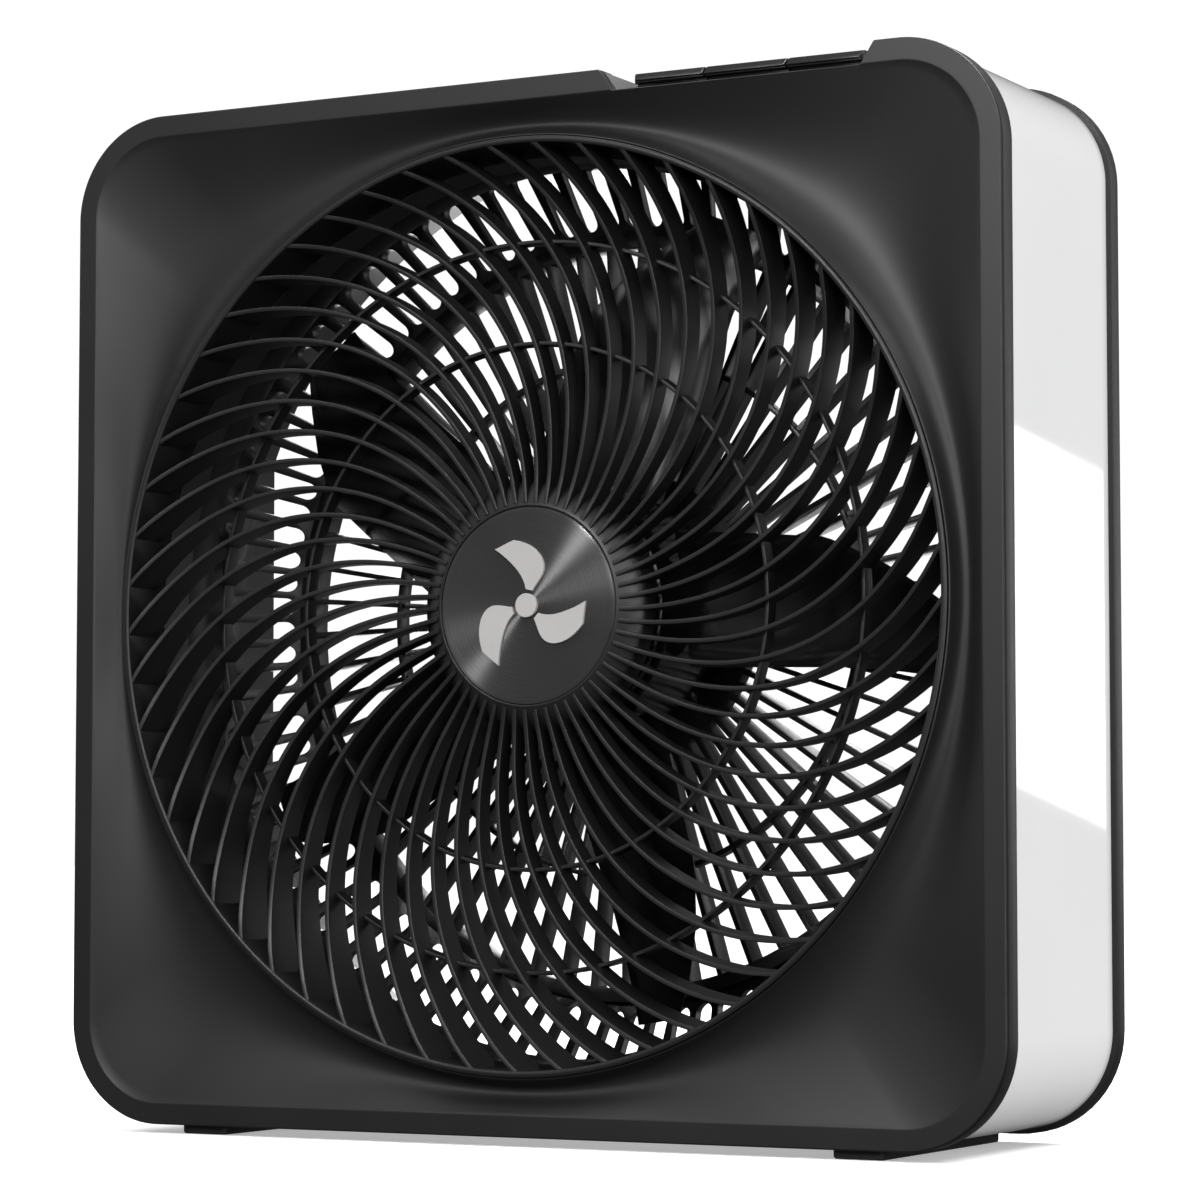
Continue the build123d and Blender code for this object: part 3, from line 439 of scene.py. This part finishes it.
# (inset, depth) of the rows from the inside of the side wall to the front border
wall = [(2.4, 9.2), (0.35, 9.2), (0.1, 9.1), (0, 8.85), (0, 5.5)]
groove = [(0, 1.95), (0.06, 1.8), (0.5, 1.7), (0.5, 0.85), (0.06, 0.72), (0, 0.6)]
border = [(0.03, 0.42), (0.12, 0.22), (0.28, 0.08), (0.5, 0), (0.57, 0), (3.5, 0), (6.6, 0)]
border += [(6.67, 0.001), (7.0, 0.01), (7.18, 0.05)]
# (depth, radius) of the lip and of the front half of the duct behind it
lip = [(1.5, 151.7), (1.45, 151.5), (1.6, 151.35), (2.2, 151.3)]
duct = [(19.2, 151.3), (19.2, 147), (33.8, 147), (34, 147.2), (34, 149.4), (22, 149.4)]
duct += [(20.5, 153.7), (11, 153.9)]
SKIN = 2.3
rows = [frame_row(inset, depth) for inset, depth in wall + groove + border]
rows += [dish_row(t) for t in np.concatenate([np.linspace(0, 0.95, 32), [0.975, 1.0]])]
rows += [circle_row(radius, depth, crease_angle) for depth, radius in lip + duct]
rows += [dish_row(t, SKIN) for t in (0.9, 0.75, 0.6, 0.45, 0.3, 0.15, 0.0)]
rows += [frame_row(2.4, 2.4)]
verts, faces = grid(rows, wrap_rows=True)
make("front_bezel_shell", verts, faces, front_black, "housing", "front_black", "front_bezel", angle=40)

# ------------------------------------------------------------------ front guard
RIBS = 57
RIB_HALF = 0.74
BACK_D = 17.5
SPIRAL_R, SPIRAL_RUN = 44.2, 340


def spiral(r):
    """Angle of a rib's middle at a radius."""
    run = (r - SPIRAL_R) / SPIRAL_RUN
    return np.radians(4.1 + 43 * run + 203 * run**2)


def spiral_slope(r):
    return np.radians(43 + 406 * (r - SPIRAL_R) / SPIRAL_RUN) / SPIRAL_RUN


dish_r = [33.5, 36, 40, 44, 51, 58, 68, 85, 102, 119, 129, 136, 142.8, 146, 147.6, 149.8]
dish_d = [10.7, 10.9, 11.3, 11.5, 11.3, 11.05, 10.9, 10.1, 9.2, 7.5, 6.2, 4.8, 2.9, 1.7, 1.15, 0.95]


def front_depth(r):
    """Depth of the ribs' front edges at a radius: the dished profile, smoothed over 12 mm."""
    window = np.hanning(25)
    profile = np.interp(np.linspace(24, 157, 267), dish_r, dish_d)
    smooth = np.convolve(profile, window / window.sum(), "same")[12:-12]
    return np.interp(r, np.linspace(30, 151, 243), smooth)


soup = Soup()
stations = np.concatenate([np.linspace(33.6, 48, 9), np.linspace(52, 149.9, 40)])
lean = spiral_slope(stations) * stations
centre = spiral(stations)
edge = front_depth(stations)
# the rib's section: (share of the half thickness, depth behind the front edge), None for its back
flank = [(1.15, None), (1.0, 0.36), (0.95, 0.13), (0.82, 0.02), (0.7, 0)]
section = []
for side, drop in [(-share, drop) for share, drop in flank] + flank[::-1]:
    offset = side * RIB_HALF * np.sqrt(1 + lean**2)
    angle = centre + offset / stations
    depth = np.full_like(stations, BACK_D) if drop is None else edge + drop
    section.append((stations, angle, depth))
for k in range(RIBS):
    turn = k * 2 * math.pi / RIBS
    rib = np.array([world(r * np.cos(a + turn), d, r * np.sin(a + turn)) for r, a, d in section])
    soup.add(*grid(rib, wrap_rows=True, wrap_cols=False))
ring = [(1.5, 149.02), (1.1, 149.04), (0.92, 149.15), (0.8, 149.4), (0.71, 149.75), (0.68, 150.1)]
ring += [(0.71, 150.45), (0.8, 150.8), (0.92, 151.02), (1.15, 151.14), (1.6, 151.16), (19, 150.9)]
ring += [(19, 147.6), (17.5, 147.6), (15.6, 149.0)]
soup.add(*lathe(ring, 512))
for radius in (85.2, 118.3):
    hoop = [(12.2, radius - 0.62), (12.2, radius + 0.62), (BACK_D, radius + 0.8), (BACK_D, radius - 0.8)]
    soup.add(*lathe(rounded(hoop, 0.3), 360))
collar = [(10.85, 32.2), (10.75, 32.4), (10.85, 32.9), (11.35, 34.2), (12.2, 36.2), (13.4, 38.2)]
collar += [(14.9, 39.9), (16.6, 41.0), (21, 41.8), (21, 39.8), (15.4, 39.8), (15.4, 0.05)]
collar += [(13.45, 0.05), (13.45, 32.15), (11.0, 32.15)]
soup.add(*lathe(collar, 342))
make("front_guard", *soup.all(), guard_black, "housing", "grille_black", "front_grille", angle=38)

# ------------------------------------------------------------------ hub disc and emblem
disc = [(10.95, 0.05), (10.93, 18), (10.85, 30.6), (10.87, 31.4), (10.98, 31.8), (11.2, 32.0)]
disc += [(13.4, 32.0), (13.4, 0.05)]
make("hub_disc_face", *lathe(disc, 360), disc_black, "housing", "disc_black", "hub_disc", angle=30)


def prism(outline, depth_front, depth_back, bevel):
    """Flat badge piece with a bevelled front rim, from a star-shaped outline in the front plane."""
    radial = outline - outline.mean(0)
    inward = -radial / np.linalg.norm(radial, axis=1, keepdims=True)
    rows = []
    steps = ((depth_back, 0), (depth_front + bevel, 0), (depth_front + bevel * 0.3, 0.3), (depth_front, 1))
    for d, share in steps:
        p = outline + inward * bevel * share
        rows.append(world(p[:, 0], d, p[:, 1]))
    verts, faces = grid(rows)
    n = len(outline)
    faces = [tuple(f) for f in faces] + [tuple(range(3 * n, 4 * n)), tuple(range(n))[::-1]]
    return verts, faces


turns = np.linspace(0, 2 * math.pi, 240, endpoint=False)
soup = Soup()
for k in range(3):
    a0 = math.pi / 2 + k * 2 * math.pi / 3
    s = np.linspace(0, 1, 60)
    radius = 5.2 + 16.6 * s
    sweep = a0 + 0.55 * s**1.3 - 0.12
    lead = sweep + 0.13 + 0.10 * np.sin(np.pi * s)
    trail = sweep - 0.34 - 0.30 * np.sin(np.pi * s * 0.9) ** 1.2 + 0.20 * s**3
    upper = np.stack([radius * np.cos(lead), radius * np.sin(lead)], 1)
    lower = np.stack([radius * np.cos(trail), radius * np.sin(trail)], 1)
    outline = np.concatenate([upper, lower[::-1]])
    soup.add(*prism(outline, 9.95, 10.93, 0.12))
ring = np.stack([3.9 * np.cos(turns), 3.9 * np.sin(turns)], 1)
soup.add(*prism(ring, 9.8, 10.93, 0.2))
make("hub_emblem_blades", *soup.all(), emblem_silver, "housing", "emblem_silver", "hub_emblem", angle=8)

# ------------------------------------------------------------------ side shell
SHELL_INSET = 1.7
TRAY_END = 41.1
depths = [9.25, 9.3, 12, 20, 30, TRAY_END, 50, 60, 70, 80, 88, 92.2, 92.5]
shell_marks = [tray_lo[0] - 0.1, tray_hi[0] + 0.1]
shell_loop, shell_out = square_loop(shell_marks)
shell_rows = []
for d in depths:
    p = shell_loop - shell_out * (SHELL_INSET + (0.12 if d in (depths[0], depths[-1]) else 0))
    shell_rows.append(world(p[:, 0], d, p[:, 1]))
verts, faces = grid(shell_rows)
# the tray's cut-out is left open
kept = []
for f in faces:
    c = verts[f].mean(0)
    over_tray = shell_marks[0] < c[0] / MM < shell_marks[1] and (c[2] - AXIS) / MM > 160
    if not (over_tray and depth_of(c[1]) < TRAY_END):
        kept.append(tuple(f))
mesh = bpy.data.meshes.new("side_shell_skin")
mesh.from_pydata([tuple(v) for v in verts], [], kept)
shell = bpy.data.objects.new("side_shell_skin", mesh)
bpy.context.scene.collection.objects.link(shell)
bm = bmesh.new()
bm.from_mesh(mesh)
bmesh.ops.delete(bm, geom=[v for v in bm.verts if not v.link_faces], context="VERTS")
bmesh.ops.recalc_face_normals(bm, faces=bm.faces)
bm.to_mesh(mesh)
bm.free()
thick = shell.modifiers.new("wall", "SOLIDIFY")
thick.thickness = 2.3 * MM
thick.offset = -1
soft = shell.modifiers.new("edges", "BEVEL")
soft.width = 0.25 * MM
soft.segments = 2
soft.limit_method = "ANGLE"
soft.angle_limit = math.radians(40)
apply_modifiers(shell)
finish_piece(shell, shell_white, "housing", "shell_white", "side_shell", angle=35)

# ------------------------------------------------------------------ impeller
soup = Soup()
hub = [(24, 4), (24, 37), (25.4, 41.4), (29, 43), (60, 43), (60, 40.6), (29.5, 40.6), (26.6, 37)]
hub += [(26.6, 9), (38.5, 9), (38.5, 4)]
soup.add(*lathe(rounded(hub, [0.1, 3, 2, 1.5, 0.5, 0.5, 2, 1, 0.8, 0.4, 0.1]), 180))
# the blade lies along x; its two edges are given as height and depth at stations out from the axis
BLADES, ROOT_X, TIP_X, ROUND_FROM = 5, 42.0, 137.2, 120
stations_x = [ROOT_X, 68, 95, 112, 126, TIP_X]
edges = [
    [-19.5, -20, -20.5, -22, -24, -26], [44.5, 47, 50.5, 52.5, 54.5, 56],
    [24, 22.5, 20.4, 12.5, 3.0, -6.5], [33.6, 33.8, 34.0, 39.5, 44.5, 48],
]
xs = ROOT_X + (TIP_X - ROOT_X) * np.linspace(0, 1, 34)
lz, ld, hz, hd = (np.interp(xs, stations_x, v) for v in edges)
chord_t = np.linspace(0, 1, 15)
blade_rows = []
for side in (1, -1):
    order = chord_t if side > 0 else chord_t[::-1]
    for u in order:
        thick_here = 1.1 * np.sqrt(np.clip(1 - (2 * u - 1) ** 6, 0.0, 1)) + 0.12
        z = lz + (hz - lz) * u
        d = ld + (hd - ld) * u + 2.6 * 4 * u * (1 - u) + side * thick_here
        tip_share = np.clip((xs - ROUND_FROM) / 17.2, 0, 1)
        x = np.sqrt(np.clip(xs**2 - np.where(xs > ROUND_FROM, z**2, 0) * tip_share, 1, None))
        blade_rows.append((x, d, z))
for k in range(BLADES):
    turn = k * 2 * math.pi / BLADES
    c, s = math.cos(turn), math.sin(turn)
    rows = [world(x * c - z * s, d, x * s + z * c) for x, d, z in blade_rows]
    verts, faces = grid(rows, wrap_rows=True, wrap_cols=False)
    n, m = len(xs), len(rows)
    cap = tuple(i * n + n - 1 for i in range(m))
    soup.add(verts, [tuple(f) for f in faces] + [cap])
make("impeller_rotor", *soup.all(), blade_black, "rotor", "impeller_black", "impeller", angle=35)

# ------------------------------------------------------------------ carried-over pieces with rounded edges
carried = {
    "rear_housing": (front_black, "front_black", 0.5),
    "rear_grille": (guard_black, "grille_black", 0.3),
    "intake_duct": (duct_black, "duct_black", 0.3),
    "control_tray": (front_black, "front_black", 0.25),
    "foot_left": (rubber_black, "rubber_black", 0.4),
    "foot_right": (rubber_black, "rubber_black", 0.4),
    "motor_cover": (guard_black, "grille_black", 0.3),
    "cord_bush": (rubber_black, "rubber_black", 0.4),
}
backs = []
for node, (material, slot, width) in carried.items():
    piece = refined(node, material, "housing", slot, width)
    if node in ("rear_housing", "rear_grille", "motor_cover", "cord_bush"):
        backs.append(piece)
for side in ("left", "centre", "right"):
    refined("button_" + side, key_black, side + "_key", "button_black", 0.3, 3)

# each coil is a copy of its CAD spring, standing on the tray
for side in ("left", "centre", "right"):
    node = "spring_" + side
    coil = bpy.data.objects.new(node + "_coil", frame["nodes"][node].data.copy())
    finish_piece(coil, spring_steel, None, "steel", node)
    low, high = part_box(node)
    x, y = (low.x + high.x) / 2, (low.y + high.y) / 2
    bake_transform(coil)

# pieces that keep their CAD shape
plain = {
    "disc_clips": zinc, "control_board": board_green, "tact_switches": key_black, "board_screws": zinc,
    "run_capacitor": box_grey, "terminal_block": terminal_white, "motor_harness": sleeve_grey,
    "motor_rear_bell": alu, "motor_front_bell": alu, "stator_core": laminate, "stator_windings": copper,
    "rear_bearing": bronze, "front_bearing": bronze, "motor_screws": zinc, "housing_screws": zinc,
    "rotor_core": laminate, "shaft": zinc, "impeller_nut": duct_black, "shaft_collar": bronze,
}
for node, material in plain.items():
    obj = frame["nodes"][node]
    obj.data.materials.clear()
    obj.data.materials.append(material)
    obj.data.shade_smooth()
    obj.data.set_sharp_from_angle(angle=math.radians(30))

# ------------------------------------------------------------------ floor, light, camera
def area(name, place, target, size, power):
    """Square soft light aimed at a target, out of the camera's sight."""
    light = bpy.data.lights.new(name, "AREA")
    light.energy = power
    light.size = size
    obj = bpy.data.objects.new(name, light)
    bpy.context.scene.collection.objects.link(obj)
    obj.location = place
    obj.rotation_euler = (Vector(target) - Vector(place)).to_track_quat("-Z", "Y").to_euler()
    obj.visible_camera = False
    return obj


floor_mesh = bpy.data.meshes.new("floor")
floor_mesh.from_pydata([(-40, -40, 0), (40, -40, 0), (40, 40, 0), (-40, 40, 0)], [], [(0, 1, 2, 3)])
floor = bpy.data.objects.new("floor", floor_mesh)
bpy.context.scene.collection.objects.link(floor)
floor_paint, tree, shader = new_material("white floor")
shader.inputs["Base Color"].default_value = (0.8, 0.8, 0.8, 1)
shader.inputs["Roughness"].default_value = 0.9
shader.inputs["Specular IOR Level"].default_value = 0
shader.inputs["Emission Color"].default_value = (1, 1, 1, 1)
shader.inputs["Emission Strength"].default_value = 0.36
floor_mesh.materials.append(floor_paint)
floor.visible_glossy = False
floor.visible_diffuse = False

sky = bpy.data.worlds.new("studio")
sky.use_nodes = True
bpy.context.scene.world = sky
tree = sky.node_tree
back = tree.nodes["Background"]
back.inputs["Color"].default_value = (1, 1, 1, 1)
path = tree.nodes.new("ShaderNodeLightPath")
level = tree.nodes.new("ShaderNodeMapRange")
level.inputs["To Min"].default_value = 0.11
level.inputs["To Max"].default_value = 1.05
tree.links.new(path.outputs["Is Camera Ray"], level.inputs["Value"])
tree.links.new(level.outputs["Result"], back.inputs["Strength"])

# the black pieces and the white shell have their own lights
middle = Vector((0, 0, AXIS))
all_but_shell = bpy.data.collections.new("all but the shell")
all_but_shell.objects.link(shell)
all_but_shell.collection_objects[0].light_linking.link_state = "EXCLUDE"
only_shell = bpy.data.collections.new("shell light")
only_shell.objects.link(shell)
# soft boxes round the fan: azimuth and elevation seen from its centre, width in metres, level
studio = [
    (-10, 24, 0.14, 37.1), (0, 14, 0.3, 2.58), (0, 24, 0.3, 0.28), (-85, -4, 0.6, 0.16), (-85, 17, 0.6, 0.47),
    (-66, 17, 0.6, 0.09), (-66, 42, 0.6, 0.13), (26, 17, 0.6, 1.16), (26, 42, 0.6, 0.27), (45, -4, 0.6, 0.57),
    (45, 17, 0.6, 1.08), (66, -4, 0.6, 1.08), (90, 42, 0.6, 4.1), (-50, 44, 0.5, 0.19), (-40, 70, 0.7, 1.13),
    (120, 70, 0.7, 6.5), (132, 17, 0.5, 0.61), (152, 1, 0.5, 0.14),
]
STUDIO_R, STUDIO_POWER = 1.6, 10.6
for index, (azimuth, elevation, size, strength) in enumerate(studio):
    a, e = math.radians(azimuth), math.radians(elevation)
    place = middle + STUDIO_R * Vector((math.sin(a) * math.cos(e), -math.cos(a) * math.cos(e), math.sin(e)))
    light = area(f"soft box {index}", place, middle, size, STUDIO_POWER * size * size * strength)
    light.light_linking.receiver_collection = all_but_shell

# broad even light for the white shell alone
shell_lights = [
    ("right", (1.6, -0.1, 0.85), middle, 1.2, 28.5),
    ("left", (-1.6, -0.1, 0.85), middle, 1.2, 27),
    ("top", (0, 0, 2), middle, 1.2, 13),
    ("lower right", (0.5, 0.2, 0.003), (0.5, 0.2, 1), 0.7, 0.8),
    ("lower left", (-0.5, 0.2, 0.003), (-0.5, 0.2, 1), 0.7, 1.6),
]
for name, place, target, size, power in shell_lights:
    light = area("shell " + name, place, target, size, power)
    light.visible_glossy = False
    light.light_linking.receiver_collection = only_shell

# soft light on the pieces that close the back
only_back = bpy.data.collections.new("back light")
for obj in [*backs, frame["nodes"]["housing_screws"]]:
    only_back.objects.link(obj)
light = area("back", (-0.95, 1.45, 0.38), middle, 1.2, 32)
light.light_linking.receiver_collection = only_back

# bright board behind on the right, out of the camera's sight, that mirrors in the shell as a slanted band
glow, tree, shader = new_material("reflector glow")
shader.inputs["Base Color"].default_value = (0.8, 0.8, 0.8, 1)
shader.inputs["Emission Color"].default_value = (1, 1, 1, 1)
shader.inputs["Emission Strength"].default_value = 1.8
mesh = bpy.data.meshes.new("reflector")
board_corners = [(0.40, 0.9, 0.064), (0.66, 0.9, 0.181), (0.66, 0.9, 0.394), (0.40, 0.9, 0.252)]
mesh.from_pydata(board_corners, [], [(0, 1, 2, 3)])
mesh.materials.append(glow)
board = bpy.data.objects.new("reflector", mesh)
bpy.context.scene.collection.objects.link(board)
board.visible_camera = False
board.visible_shadow = False

# wide overhead light for the floor alone, so only the contact shadow shows
overhead = bpy.data.lights.new("overhead", "SUN")
overhead.energy = 3.4
overhead.angle = math.radians(100)
overhead_obj = bpy.data.objects.new("overhead", overhead)
bpy.context.scene.collection.objects.link(overhead_obj)
overhead_obj.location = (0, 0, 3)
only_floor = bpy.data.collections.new("floor light")
only_floor.objects.link(floor)
overhead_obj.light_linking.receiver_collection = only_floor

camera = bpy.data.cameras.new("camera")
camera.sensor_width = 36
camera.lens = 118.24
camera.clip_end = 200
cam = bpy.data.objects.new("camera", camera)
bpy.context.scene.collection.objects.link(cam)
cam.location = (0.6210, FRONT - 1.0963, 0.0913)
cam.rotation_euler = (math.radians(90 + 3.762), 0, math.radians(28.226))
bpy.context.scene.camera = cam
bpy.context.scene.view_settings.view_transform = "Standard"
bpy.context.scene.view_settings.look = "None"
